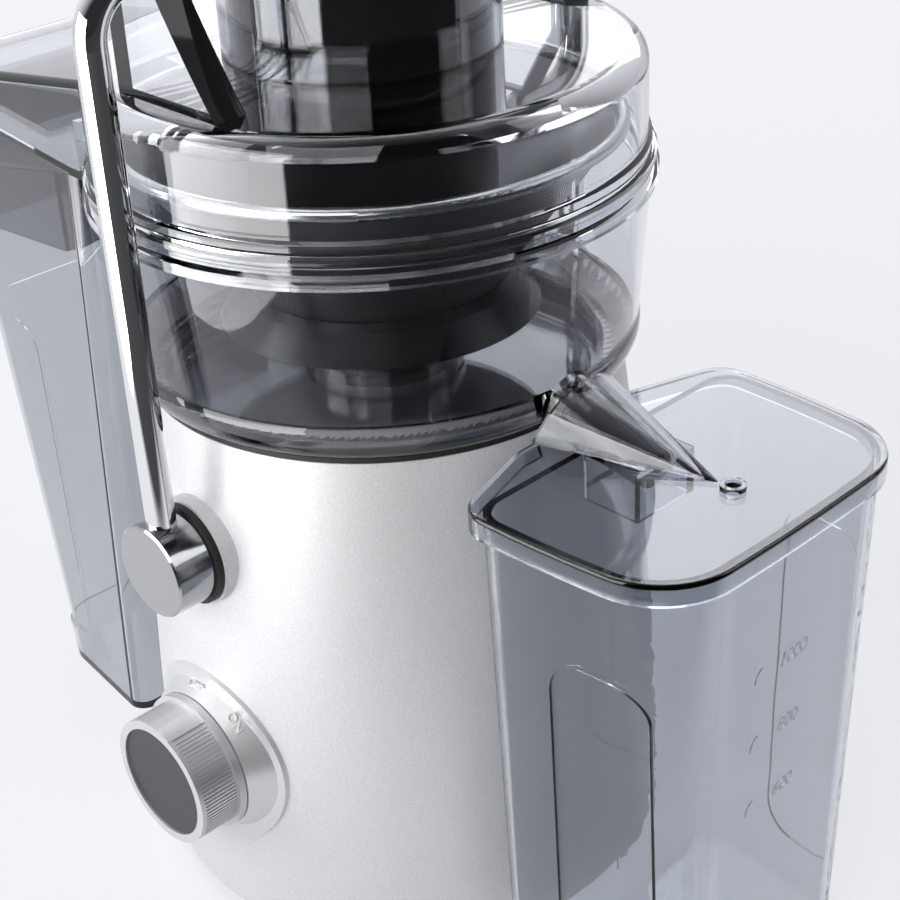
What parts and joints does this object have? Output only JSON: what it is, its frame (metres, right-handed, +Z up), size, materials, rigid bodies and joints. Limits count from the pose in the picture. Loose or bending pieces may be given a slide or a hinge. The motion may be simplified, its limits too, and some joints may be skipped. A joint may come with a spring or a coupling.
{
  "type": "centrifugal juicer",
  "caption": "Centrifugal juicer with a flared motor base, front dial, clear bowl and lid with feed tube, spinning filter basket, locking bail, pulp container and lidded juice jug.",
  "frame": {"origin": "on the motor axis, at the surface that the juicer stands on", "axes": "+Z up along the motor axis, +X towards the juice jug, -Y towards the front with the dial"},
  "size_m": [0.3714, 0.2119, 0.384],
  "materials": {
    "silver_body": "satin silver paint with a fine grain",
    "silver_knob": "bright silver, ribbed",
    "smoked_clear": "clear, lightly smoked",
    "chrome": "polished",
    "steel": "bright",
    "core_steel": "stacked sheet",
    "copper": "enamelled wire and bars",
    "cast_alloy": "as cast",
    "carbon": "matt",
    "black_plastic": "satin black",
    "dark_insert": "matt dark grey",
    "black_rubber": "matt"
  },
  "bodies": {
    "base": {"body_shell": "silver_body", "base_plate": "black_plastic", "rubber_feet": "black_rubber", "base_screws": "steel", "top_deck": "black_plastic", "seam_gasket": "black_rubber", "shaft_seal": "black_rubber", "cord_gland": "black_rubber", "upper_bracket": "cast_alloy", "lower_bracket": "cast_alloy", "motor_grommets": "black_rubber", "motor_screws": "steel", "stator_core": "core_steel", "field_coils": "copper", "upper_bearing": "steel", "lower_bearing": "steel", "tie_bolts": "steel", "brush_holders": "black_plastic", "carbon_brushes": "carbon", "juice_bowl": "smoked_clear", "lid_seal": "black_rubber", "lid": "smoked_clear", "pivot_washers": "black_rubber", "pivot_bushes": "black_plastic", "interlock_switch": "black_plastic", "dial_bezel": "silver_body", "rotary_switch": "black_plastic"},
    "rotor": {"motor_shaft": "steel", "armature_core": "core_steel", "armature_windings": "copper", "commutator": "copper", "cooling_fan": "black_plastic", "drive_coupling": "black_plastic", "basket_carrier": "black_plastic", "grater_disc": "steel", "filter_basket": "steel", "basket_rim": "steel"},
    "bail": {"bail_rod": "chrome", "pivot_boss_front": "chrome", "pivot_boss_rear": "chrome", "pivot_clips": "steel"},
    "dial": {"dial_knob": "silver_knob", "dial_insert": "dark_insert", "dial_spindle": "steel"},
    "jug": {"juice_jug": "smoked_clear", "jug_lid": "smoked_clear"},
    "pulp_bin": {"pulp_container": "smoked_clear"},
    "pusher": {"food_pusher": "black_plastic"}
  },
  "joints": [
    {"name": "rotor_spin", "type": "hinge", "parent": "base", "child": "rotor", "pos_m": [0, 0, 0.1], "axis": [0, 0, 1], "continuous": true},
    {"name": "bail_swing", "type": "hinge", "parent": "base", "child": "bail", "pos_m": [0, 0, 0.1442], "axis": [0, 1, 0], "range_deg": [0, 55]},
    {"name": "dial_turn", "type": "hinge", "parent": "base", "child": "dial", "pos_m": [0, -0.1, 0.0656], "axis": [0, 1, 0], "range_deg": [0, 45]},
    {"name": "jug_slide", "type": "slide", "parent": "base", "child": "jug", "axis": [1, 0, 0], "range_m": [0, 0.12]},
    {"name": "pulp_bin_tilt", "type": "hinge", "parent": "base", "child": "pulp_bin", "pos_m": [-0.096, 0, 0.2354], "axis": [0, 1, 0], "range_deg": [0, 5]},
    {"name": "pusher_lift", "type": "slide", "parent": "base", "child": "pusher", "axis": [0, 0, 1], "range_m": [0, 0.1]}
  ]
}
